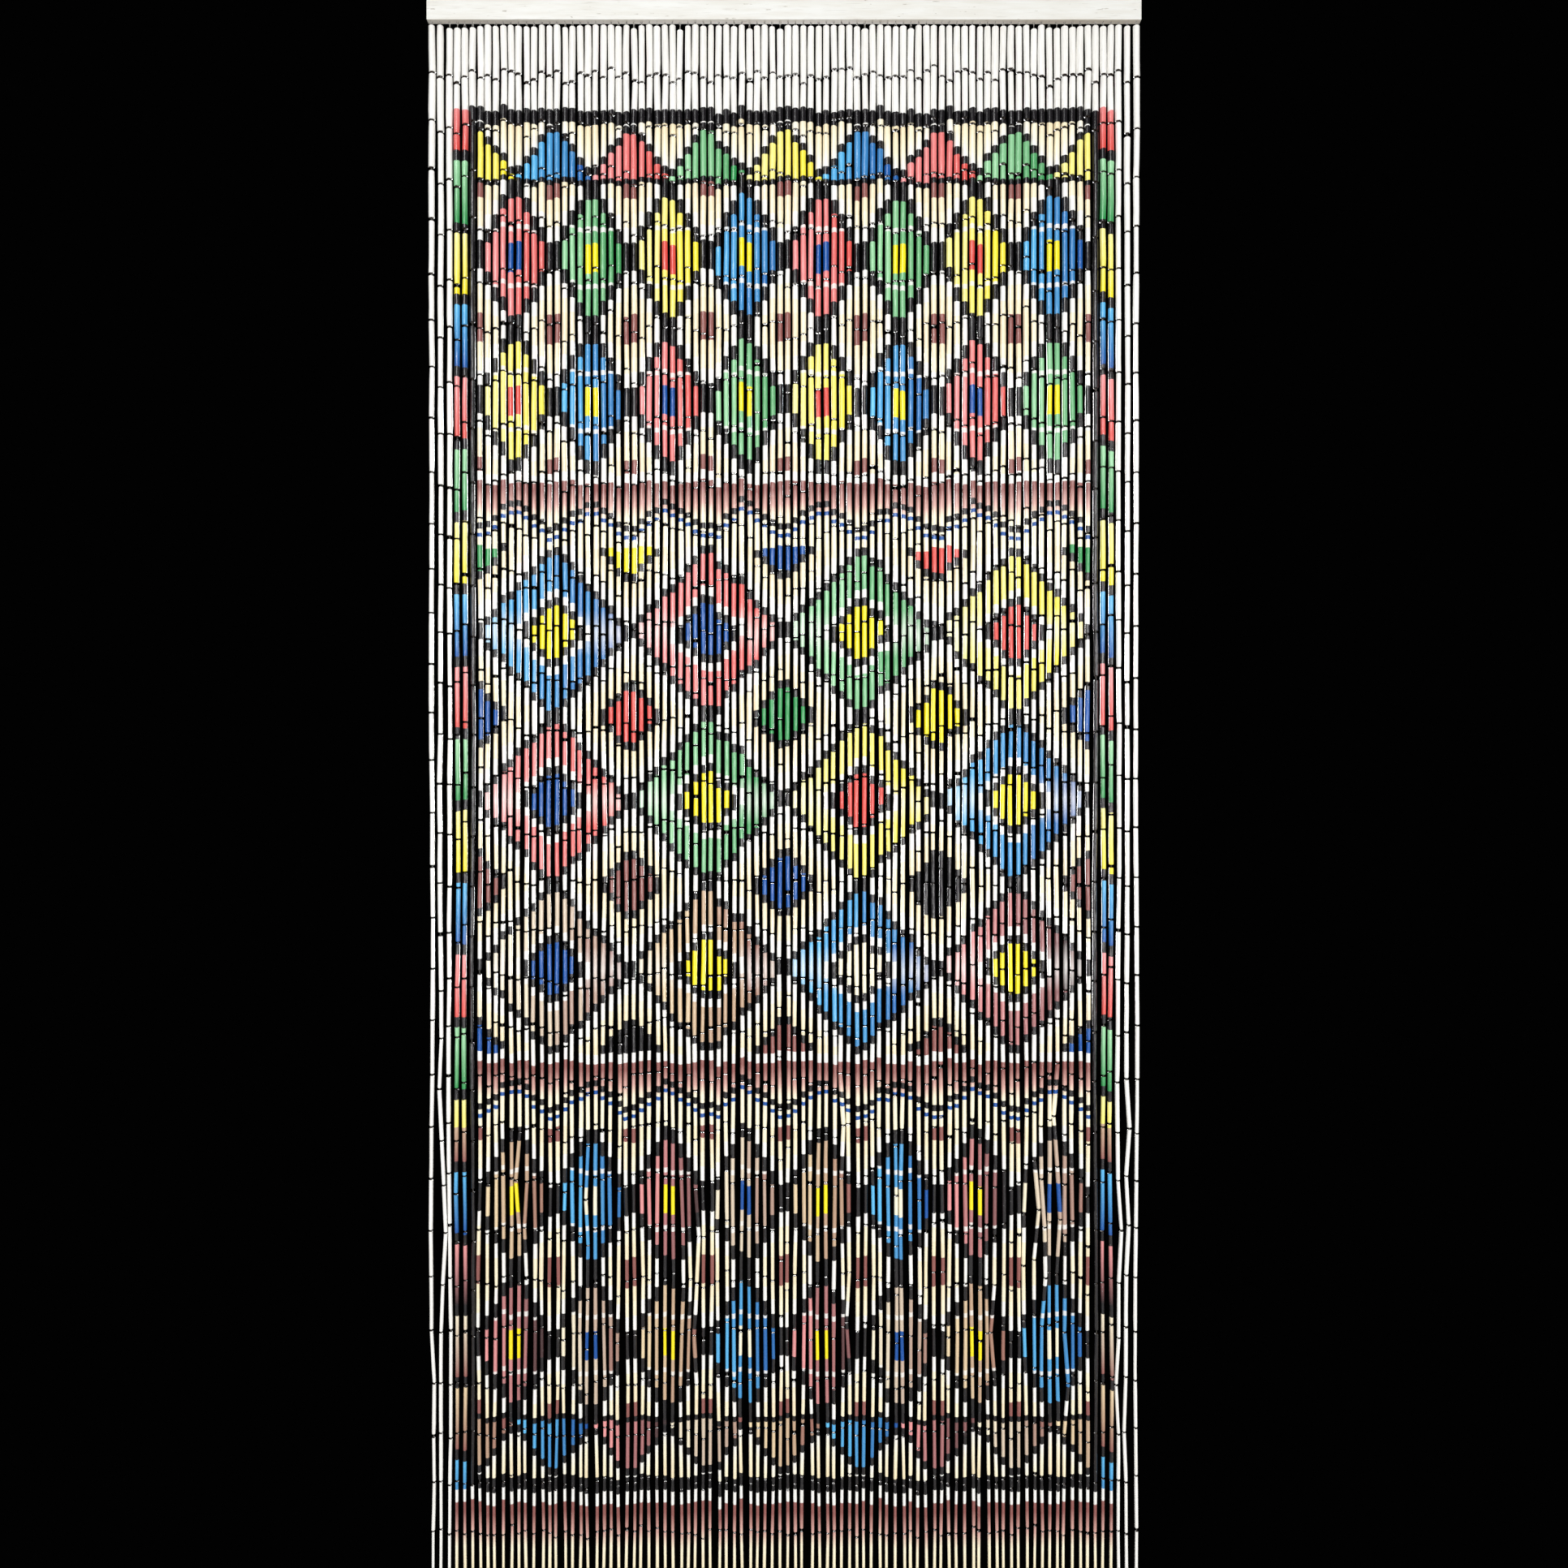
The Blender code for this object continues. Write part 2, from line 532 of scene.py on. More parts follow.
    def chevrons(self) -> Signal:
        """Paints a sprayed band that fades downwards, with two chevron lines over it.

        Returns:
            The colour.
        """
        both = self.chevrons_to + self.medallions_to
        down = self.from_middle + self.chevrons_to - self.lower_half * both
        line = down - self.chevron_from - self.zigzag * self.chevron_step
        ground = self.sprayed(down, self.chevron_widths, Paint.CREAM)
        colour = self.board.mix(line.within(*self.chevron_charcoal), ground, Paint.CHARCOAL)
        return self.board.mix(line.within(*self.chevron_blue), colour, Paint.BLUE)

    def triangles(self) -> Signal:
        """Paints coloured triangles between two charcoal bands.

        Returns:
            The colour.
        """
        board, half = self.board, self.small_half
        inside = self.out - self.diamonds_to
        line = inside - self.triangle_from - self.zigzag * self.triangle_step
        way = self.way(((self.across + half) / (2 * half)).whole(), self.lower_half)
        fill = self.fill(way, 2 * half, half)
        fades = (Stripe(20, Paint.WHITE, Paint.CREAM), Stripe(46, Paint.CREAM, Paint.SAND))
        ground = board.stripes(line - self.triangle_line, *fades)
        colour = board.layered(line, fill, (0.0, Paint.CHARCOAL), (self.triangle_line, ground))
        first_to, second_from = self.charcoal_bands
        colour = board.mix(inside.over(second_from), colour, Paint.CHARCOAL)
        return board.mix(inside.under(first_to), colour, Paint.CHARCOAL)

    def side_border(self, side: Signal) -> Signal:
        """Paints a charcoal line and a ladder of coloured blocks down each side.

        Args:
            side: How many strands a point is from the middle, on either side.

        Returns:
            The colour.
        """
        block = self.from_middle / self.ladder
        way = self.way(block.whole(), self.from_middle.over(self.chevrons_to))
        along = block.turn(1.0)
        fill = self.board.mix(along, self.accent(way, "pale"), self.accent(way, "deep"))
        fill = self.board.mix(along.under(self.rung), fill, Paint.CHARCOAL)
        return self.board.mix(side.over(self.side_border_from + 1), Paint.CHARCOAL, fill)

    def ends(self) -> Signal:
        """Plain white under the bar, and a sprayed band that fades to sand at the loose ends."""
        foot = self.sprayed(self.from_middle - self.triangles_to, self.foot_widths, Paint.SAND)
        return self.board.mix(self.lower_half, Paint.WHITE, foot)


@dataclass(frozen=True)
class BambooPaint:
    """Satin paint on bamboo, laid over the strands as they hang together."""

    underside: float = -0.015
    fibres: Grain = Grain(1500, 3, (1.0, 1.0, 0.035))
    lip: Grain = Grain(140, 0, (1.0, 1.0, 0.3))
    lip_reach: float = 2.4
    spray: Grain = Grain(2600, 1)
    spray_reach: float = 2.0
    streaks: Span = (0.34, 0.58, 0.9, 1.0)
    shades: Span = (0.0, 1.0, 0.95, 1.0)
    tint: tuple[float, float, float] = (0.9, 1.0, 1.2)
    flecks: Grain = Grain(900, 1, (1.0, 1.0, 0.4))
    flecked: Span = (0.75, 0.8, 0.0, 0.55)
    chips: Grain = Grain(420)
    chip_share: float = 0.9
    chipped: Span = (1.2, 1.367, 0.0, 1.0)
    rough: Span = (0.3, 0.7, 0.15, 0.33)
    specular: float = 0.75
    relief: tuple[float, float] = (0.00022, 0.8)

    def material(self) -> bpy.types.Material:
        """Builds the finish of the beads.

        Returns:
            The material.
        """
        board = Board("bamboo_paint")
        fibres = board.noise(self.fibres)
        lip = (board.noise(self.lip) - 0.5) * self.lip_reach
        spray = (board.noise(self.spray) - 0.5) * self.spray_reach
        depth = (board.height() - self.underside) * -1000 + board.attribute("slip") + lip + spray
        tone = board.attribute("tone")
        colour = GeometricDesign(board, board.attribute("strand_number"), depth, tone).colour()
        return board.dress(
            Base_Color=self.worn(board, colour, fibres, tone), Roughness=fibres.spread(*self.rough),
            Specular_IOR_Level=self.specular, Normal=board.bump(fibres, *self.relief))

    def worn(self, board: Board, colour: Signal, fibres: Signal, tone: Signal) -> Signal:
        """Adds streaks, flecks, the tone of each bead, and the cut ends: bare bamboo, painted dark brown as
        painted shade in the joints.

        Args:
            board: The beads' material.
            colour: The painted colour.
            fibres: The grain along the beads.
            tone: Each bead's own shade, from 0 to 1.

        Returns:
            The worn colour.
        """
        shade = fibres.spread(*self.streaks) * tone.spread(*self.shades)
        red, green, blue = ((shade - 1) * share + 1 for share in self.tint)
        tone_colour = board.out("ShaderNodeCombineColor", Red=red, Green=green, Blue=blue)
        colour = board.mix(1.0, colour, tone_colour, "MULTIPLY")
        colour = board.mix(board.noise(self.flecks).spread(*self.flecked), colour, Paint.FLECK)
        # The cut ends and bores are bare bamboo, painted dark brown as painted shade where the beads meet.
        bare_shaded_end = board.attribute("cut") + board.noise(self.chips) * self.chip_share
        return board.mix(bare_shaded_end.spread(*self.chipped), colour, Paint.SHADED_CUT_END)


@dataclass(frozen=True)
class BarPaint:
    """Off-white paint brushed along a planed slat, with a warm brownish painted shade on its underside."""

    underside: float = -0.015
    grain: Grain = Grain(700, 4, (0.05, 1.0, 1.0))
    brush: Grain = Grain(160, 2, (0.12, 1.0, 1.0))
    flakes: Grain = Grain(330, 4, (0.22, 1.0, 1.0))
    brushed: Span = (0.35, 0.65, 0.0, 0.6)
    worn: Span = (0.6, 0.75, 0.0, 0.35)
    flaked: Span = (0.68, 0.72, 0.0, 0.7)
    shade_height: float = 0.0006
    shade_share: float = 0.6
    rough: Span = (0.3, 0.7, 0.42, 0.62)
    brush_share: float = 0.6
    relief: tuple[float, float] = (0.0003, 0.5)

    def material(self) -> bpy.types.Material:
        """Builds the finish of the bar.

        Returns:
            The material.
        """
        board = Board("bar_paint")
        grain, brush = board.noise(self.grain), board.noise(self.brush)
        colour = board.mix(brush.spread(*self.brushed), Paint.BAR_WHITE, Paint.BAR_BRUSHED)
        colour = board.mix(grain.spread(*self.worn), colour, Paint.BAR_WORN)
        colour = board.mix(board.noise(self.flakes).spread(*self.flaked), colour, Paint.BAR_WORN)
        # Painted shade: the underside is tinted warm brown, fading out over the lowest 0.6 mm of the sides.
        underside_shade = board.height().spread(self.underside, self.underside + self.shade_height, self.shade_share, 0.0)
        return board.dress(
            Base_Color=board.mix(underside_shade, colour, Paint.UNDERSIDE_SHADE), Roughness=grain.spread(*self.rough),
            Normal=board.bump(grain + brush * self.brush_share, *self.relief))


@dataclass(frozen=True)
class WireFinish:
    """Dull grey wire, paler where its zinc is still fresh."""

    name: str = "dull_wire"
    clean: Paint = Paint.WIRE
    metal: float = 0.85
    tarnish: Grain = Grain(900)
    tarnished: Span = (0.35, 0.65, 0.0, 1.0)
    rough: Span = (0.3, 0.7, 0.35, 0.6)

    def material(self) -> bpy.types.Material:
        """Builds the finish of the wire.

        Returns:
            The material.
        """
        board = Board(self.name)
        tarnish = board.noise(self.tarnish)
        colour = board.mix(tarnish.spread(*self.tarnished), self.clean, Paint.WIRE_TARNISH)
        return board.dress(Base_Color=colour, Metallic=self.metal, Roughness=tarnish.spread(*self.rough))


@dataclass(frozen=True)
class FloorFinish:
    """Plain pale floor."""

    roughness: float = 0.8
    cloud: Grain = Grain(6)
    clouded: Span = (0.3, 0.7, 0.0, 1.0)

    def material(self) -> bpy.types.Material:
        """Builds the finish of the floor.

        Returns:
            The material.
        """
        board = Board("pale_floor")
        cloud = board.noise(self.cloud).spread(*self.clouded)
        colour = board.mix(cloud, Paint.FLOOR, Paint.FLOOR_CLOUD)
        return board.dress(Base_Color=colour, Roughness=self.roughness)


class Bow(NamedTuple):
    """A strand that hangs out of line: which one, from and to what depth, and how far right."""

    strand: int
    start: float
    end: float
    sideways: float


@dataclass(frozen=True)
class StrandPlan:
    """Where every strand hangs and how thick its beads are, as in the frame's comb."""

    width: float = 0.900
    length: float = 1.970
    plane: float = -0.005
    underside: float = -0.015
    count: int = 92
    border_strands: int = 3
    border_pitch: float = 0.0112
    edge_margin: float = 0.0057
    wander_at_end: float = 0.0011
    wander_waves: tuple[float, float] = (0.62, 1.15)
    wander_seed: int = 41
    clearance: float = 0.0005
    settling_passes: int = 30
    grid_step: float = 0.01
    diameters: tuple[tuple[float, float], ...] = (
        (0.00, 0.0087), (0.12, 0.0083), (0.25, 0.0072), (0.50, 0.0066),
        (1.00, 0.0058), (1.50, 0.0053), (1.97, 0.0050),
    )
    bows: tuple[Bow, ...] = (
        Bow(1, 1.36, 1.70, 0.0042),
        Bow(0, 1.62, 2.10, 0.0032),
        Bow(6, 1.44, 1.74, -0.0034),
        Bow(22, 0.86, 1.20, 0.0021),
        Bow(32, 1.40, 1.74, 0.0050),
        Bow(33, 1.46, 1.72, 0.0030),
        Bow(47, 1.10, 1.52, -0.0024),
        Bow(61, 1.30, 1.70, -0.0030),
        Bow(77, 1.38, 1.76, -0.0046),
        Bow(79, 1.40, 1.70, 0.0032),
        Bow(90, 1.36, 2.06, -0.0036),
    )

    def diameter(self, depth: Union[float, np.ndarray]) -> Union[float, np.ndarray]:
        """The usual bead diameter at a depth below the bar."""
        return np.interp(depth, *zip(*self.diameters))

    def centres(self) -> np.ndarray:
        """Where the strands leave the bar.

        Returns:
            The x of each strand.
        """
        first = -self.width / 2 + self.edge_margin
        border_gaps = self.border_strands - 1
        inner_gaps = self.count - 1 - 2 * border_gaps
        inner = (-2 * first - 2 * border_gaps * self.border_pitch) / inner_gaps
        gaps = [self.border_pitch] * border_gaps + [inner] * inner_gaps + [self.border_pitch] * border_gaps
        return first + np.concatenate(([0.0], np.cumsum(gaps)))

    def row(self, depth: float, centres: np.ndarray, phases: np.ndarray) -> np.ndarray:
        """Works out the strands at one depth, pushed apart where they would meet.

        Args:
            depth: The depth below the bar.
            centres: Where the strands leave the bar.
            phases: One pair of wave phases for each strand.

        Returns:
            The x of each strand.
        """
        reach = self.wander_at_end * min(depth / self.length, 1.0)
        turns = (2 * math.pi * depth / wave for wave in self.wander_waves)
        places = centres + reach * sum(np.sin(turn + phase) for turn, phase in zip(turns, phases.T))
        for bow in self.bows:
            if bow.start < depth < bow.end:
                along = (depth - bow.start) / (bow.end - bow.start)
                places[bow.strand] += bow.sideways * math.sin(math.pi * along) ** 2
        least = self.diameter(depth) + self.clearance
        outermost = self.width / 2 - self.diameter(depth) / 2
        for _ in range(self.settling_passes):
            for left in range(self.count - 1):
                lack = max(0.0, least - (places[left + 1] - places[left]))
                places[left] -= lack / 2
                places[left + 1] += lack / 2
            places = np.clip(places, -outermost, outermost)
        return places

    def grid(self) -> tuple[np.ndarray, np.ndarray]:
        """Works out the strands at even steps of depth.

        Returns:
            The depths, and one row of x for each depth.
        """
        draw = random.Random(self.wander_seed)
        phases = np.array([
            [draw.uniform(0, 2 * math.pi) for _ in self.wander_waves] for _ in range(self.count)])
        centres = self.centres()
        depths = np.arange(0.0, self.length + self.grid_step, self.grid_step)
        return depths, np.array([self.row(depth, centres, phases) for depth in depths])


def put(name: str, mesh: bpy.types.Mesh) -> Piece:
    """Makes an object of a mesh and links it into the scene.

    Args:
        name: The object's name.
        mesh: Its mesh.

    Returns:
        The object.
    """
    piece = bpy.data.objects.new(name, mesh)
    bpy.context.scene.collection.objects.link(piece)
    return piece


def seat(piece: Piece, node: str) -> None:
    """Hangs a piece on the frame in place of a node.

    Args:
        piece: The piece.
        node: The frame's node that it stands for.
    """
    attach(piece, BODY)
    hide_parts(node)


def drawn(name: str, shape: bmesh.types.BMesh) -> bpy.types.Mesh:
    """Turns a drawn shape into a mesh.

    Args:
        name: The mesh's name.
        shape: The shape, which is used up.

    Returns:
        The mesh.
    """
    mesh = bpy.data.meshes.new(name)
    shape.to_mesh(mesh)
    shape.free()
    return mesh


def block(low: Vector, high: Vector, along: int = 0, upright: int = 0) -> bmesh.types.BMesh:
    """Draws a rectangular block.

    Args:
        low: Its lowest corner.
        high: Its highest corner.
        along: How many cuts it has along X.
        upright: How many cuts it has up Z.

    Returns:
        The shape.
    """
    shape = bmesh.new()
    bmesh.ops.create_cube(shape, size=1.0)
    for axis, cuts in ((0, along), (2, upright)):
        crossed = [e for e in shape.edges if abs(e.verts[0].co[axis] - e.verts[1].co[axis]) > 0.5]
        if cuts:
            bmesh.ops.subdivide_edges(shape, edges=crossed, cuts=cuts, use_grid_fill=True)
    bmesh.ops.scale(shape, vec=high - low, verts=shape.verts)
    bmesh.ops.translate(shape, vec=(low + high) / 2, verts=shape.verts)
    return shape


def circle(count: int) -> list[tuple[float, float]]:
    """The cosine and sine of even turns round a circle."""
    return [(math.cos(angle), math.sin(angle)) for angle in (2 * math.pi * n / count for n in range(count))]


Ring = Sequence[bmesh.types.BMVert]
MapPlace = Callable[[int, bool], tuple[float, float]]


class Draft:
    """A mesh drawn ring by ring, with its map and a mark on cut wood."""

    def __init__(self) -> None:
        """Starts an empty mesh."""
        self.shape = bmesh.new()
        self.cut = self.shape.verts.layers.float.new("cut")
        self.map = self.shape.loops.layers.uv.new(MAP_NAME)

    def ring(self, points: Sequence[Vector], cut: float = 0.0) -> Ring:
        """Adds loose points that later faces join.

        Args:
            points: Where they are.
            cut: Their mark, 1 on cut wood.

        Returns:
            The points of the mesh.
        """
        ring = [self.shape.verts.new(point) for point in points]
        for vert in ring:
            vert[self.cut] = cut
        return ring

    def bridge(self, low: Ring, high: Ring, where: MapPlace) -> None:
        """Joins two rings with a band of faces.

        Args:
            low: The first ring.
            high: The second ring, with as many points.
            where: Gives the map place of a corner from its number round the ring, which runs
                one past the last point, and whether it is on the second ring.
        """
        for side in range(len(low)):
            after = (side + 1) % len(low)
            face = self.shape.faces.new((low[side], low[after], high[after], high[side]))
            face.smooth = True
            corners = ((side, False), (side + 1, False), (side + 1, True), (side, True))
            for loop, corner in zip(face.loops, corners):
                loop[self.map].uv = where(*corner)

    def cap(self, ring: Ring, place: tuple[float, float], size: float = 0.01) -> None:
        """Closes a ring with one face.

        Args:
            ring: The ring.
            place: Where on the map the face lies.
            size: How far it reaches there.
        """
        face = self.shape.faces.new(ring)
        for loop, (aside, up) in zip(face.loops, circle(len(ring))):
            loop[self.map].uv = (place[0] + size * aside, place[1] + size * up)

    def sweep(self, path: Sequence[Vector], radius: float, sides: int, closed: bool, strip: Strip) -> None:
        """Runs a wire along a path.

        Args:
            path: The points of its middle line.
            radius: The wire's radius.
            sides: How many sides it has.
            closed: Whether the last point joins the first.
            strip: From and to where on the map's height the wire lies.
        """
        count = len(path)
        rings = []
        side = None
        for number, point in enumerate(path):
            before = path[number - 1] if number or closed else point
            after = path[(number + 1) % count] if number + 1 < count or closed else point
            along = (after - before).normalized()
            side = along.orthogonal() if side is None else side - along * side.dot(along)
            side.normalize()
            across = along.cross(side)
            rings.append(self.ring([point + (side * x + across * y) * radius for x, y in circle(sides)]))
        spans = count if closed else count - 1
        low, high = strip
        for number in range(spans):
            self.bridge(rings[number], rings[(number + 1) % count], lambda turn, far: (
                MAP_EDGE + (1 - 2 * MAP_EDGE) * (number + far) / spans, low + (high - low) * turn / sides))
        if not closed:
            self.cap(rings[0], (MAP_EDGE / 2, low))
            self.cap(rings[-1], (1 - MAP_EDGE / 2, high))

    def finish(self, name: str) -> Piece:
        """Turns the faces outwards and makes the object."""
        bmesh.ops.recalc_face_normals(self.shape, faces=self.shape.faces)
        return bpy.data.objects.new(name, drawn(name, self.shape))


class Girth(NamedTuple):
    """One bead shape: the height and girth of its waist, its end girths and its bend."""

    waist_height: float
    waist: float
    top: float
    foot: float
    bend: float


@dataclass
class BeadShapes:
    """Unit beads that the strands are strung from: short tubes with eased rims and a bore."""

    sides: int = 9
    bore: float = 0.42
    face: float = 0.84
    ease: float = 0.013
    dish: float = 0.003
    side_share: float = 0.86
    rim_share: float = 0.06
    flat: float = 1e-6
    girths: tuple[Girth, ...] = (
        Girth(0.05, 1.00, 1.00, 1.00, 0.00),
        Girth(-0.20, 0.97, 1.02, 0.98, 0.07),
        Girth(0.25, 1.05, 0.97, 1.00, 0.00),
        Girth(0.00, 1.02, 0.95, 1.04, 0.10),
        Girth(-0.28, 1.06, 1.00, 0.96, 0.05),
    )

    def profile(self, girth: Girth) -> list[tuple[float, float, float, float]]:
        """Works out a bead's rings, from the lower edge of its bore round to the upper.

        Args:
            girth: The bead's shape.

        Returns:
            The radius, height, bend and cut mark of each ring.
        """
        shoulder = 0.5 - self.ease
        return [
            (self.bore, self.dish - 0.5, 0.0, 1.0),
            (self.face * girth.foot, -0.5, 0.0, 1.0),
            (girth.foot, -shoulder, 0.0, 0.0),
            (girth.waist, girth.waist_height, girth.bend, 0.0),
            (girth.top, shoulder, 0.0, 0.0),
            (self.face * girth.top, 0.5, 0.0, 1.0),
            (self.bore, 0.5 - self.dish, 0.0, 1.0),
        ]

    def on_map(self, level: int, heights: Sequence[float]) -> MapPlace:
        """Lays a band of faces on the map: the sides on one strip, the ends and the bore on another.

        Args:
            level: The number of the band's lower ring.
            heights: The height of each ring.

        Returns:
            The band's map place.
        """
        last, rim = len(heights) - 1, self.rim_share
        spare = self.side_share + MAP_EDGE
        strips = {0: (0.0, rim), last - 1: (1 - rim, 1.0), last: (1 - 2 * rim, 2 * rim)}
        low, high = strips.get(level, (heights[level] + 0.5, heights[(level + 1) % (last + 1)] + 0.5))
        on_end = level in strips
        start, width = (spare, 1 - MAP_EDGE - spare) if on_end else (MAP_EDGE / 2, self.side_share)
        return lambda turn, far: (start + width * turn / self.sides, high if far else low)

    def bead(self, name: str, girth: Girth) -> Piece:
        """Turns one bead of unit radius and length round Z.

        Args:
            name: The bead's name.
            girth: Its shape.

        Returns:
            The bead.
        """
        draft = Draft()
        profile = self.profile(girth)
        rings = [
            draft.ring([Vector((radius * x + bend, radius * y, height)) for x, y in circle(self.sides)], cut)
            for radius, height, bend, cut in profile
        ]
        heights = [height for _, height, _, _ in profile]
        for level, ring in enumerate(rings):
            draft.bridge(ring, rings[(level + 1) % len(rings)], self.on_map(level, heights))
        crisp = {vert for ring in rings[::2] for vert in ring}
        for edge in draft.shape.edges:
            flat = abs(edge.verts[0].co.z - edge.verts[1].co.z) < self.flat
            edge.smooth = not (flat and set(edge.verts) <= crisp)
        return draft.finish(name)

    def make(self) -> list[Piece]:
        """Makes every bead shape."""
        return [self.bead(f"bead_shape_{number}", girth) for number, girth in enumerate(self.girths)]


@dataclass
class WireShapes:
    """The wire between two beads, and the wire that hangs a strand from the bar."""

    wire: float = 0.00034
    half_width: float = 0.0009
    half_height: float = 0.0019
    eye_points: int = 8
    eye_sides: int = 3
    eye_strips: tuple[Strip, Strip] = ((0.02, 0.48), (0.52, 0.98))
    hanger_height: float = 0.010
    hanger_sides: int = 5
    staple_points: int = 12
    staple_drop: float = 0.0022
    staple_half_height: float = 0.0032
    staple_strip: Strip = (0.02, 0.3)
    top_eye_points: int = 10
    top_eye_drop: float = 0.0062
    top_eye_half_height: float = 0.0016
    top_eye_strip: Strip = (0.33, 0.6)
    shank_points: int = 20
    shank_drop: float = 0.0076
    shank_radius: float = 1.1
    shank_strips: tuple[Strip, Strip] = ((0.63, 0.8), (0.82, 0.98))
    twists: float = 2.5

    def oval(self, middle: float, half_height: float, points: int, quarter: bool) -> list[Vector]:
        """Draws the middle line of one eye.

        Args:
            middle: The height of its middle.
            half_height: Half its height.
            points: How many points it has.
            quarter: Whether it is turned a quarter.

        Returns:
            The points.
        """
        line = []
        for aside, up in circle(points):
            x, y = (0.0, aside * self.half_width) if quarter else (aside * self.half_width, 0.0)
            line.append(Vector((x, y, middle + half_height * up)))
        return line

    def linked_eyes(self) -> Piece:
        """Makes two eyes hooked into each other.

        Returns:
            The unit shape.
        """
        draft = Draft()
        lift = self.half_height - self.wire
        for middle, quarter, strip in zip((lift, -lift), (False, True), self.eye_strips):
            line = self.oval(middle, self.half_height, self.eye_points, quarter)
            draft.sweep(line, self.wire, self.eye_sides, True, strip)
        return draft.finish("linked_eyes")

    def hanger(self) -> Piece:
        """Makes a staple in the bar, and the top bead's eye hooked into it over a twisted shank.

        Returns:
            The unit shape.
        """
        draft = Draft()
        top = self.hanger_height / 2
        staple = self.oval(top - self.staple_drop, self.staple_half_height, self.staple_points, False)
        draft.sweep(staple, self.wire, self.hanger_sides, True, self.staple_strip)
        eye = self.oval(top - self.top_eye_drop, self.top_eye_half_height, self.top_eye_points, True)
        draft.sweep(eye, self.wire, self.hanger_sides, True, self.top_eye_strip)
        reach = self.wire * self.shank_radius
        for side, strip in zip((1, -1), self.shank_strips):
            shank = []
            for number in range(self.shank_points + 1):
                share = number / self.shank_points
                angle = 2 * math.pi * self.twists * share
                height = top - self.shank_drop - (self.hanger_height - self.shank_drop) * share
                x, y = side * reach * math.cos(angle), side * reach * math.sin(angle)
                shank.append(Vector((x, y, height)))
            draft.sweep(shank, self.wire, self.hanger_sides, False, strip)
        return draft.finish("hanger")


@contextmanager
def stored(name: str, shapes: Sequence[Piece]) -> Iterator[bpy.types.Collection]:
    """Keeps unit shapes in a collection out of the scene while they are used.

    Args:
        name: The collection's name.
        shapes: The unit shapes, which are removed at the end.

    Yields:
        The collection.
    """
    store = bpy.data.collections.new(name)
    for shape in shapes:
        store.objects.link(shape)
    yield store
    for shape in shapes:
        bpy.data.objects.remove(shape)
    bpy.data.collections.remove(store)


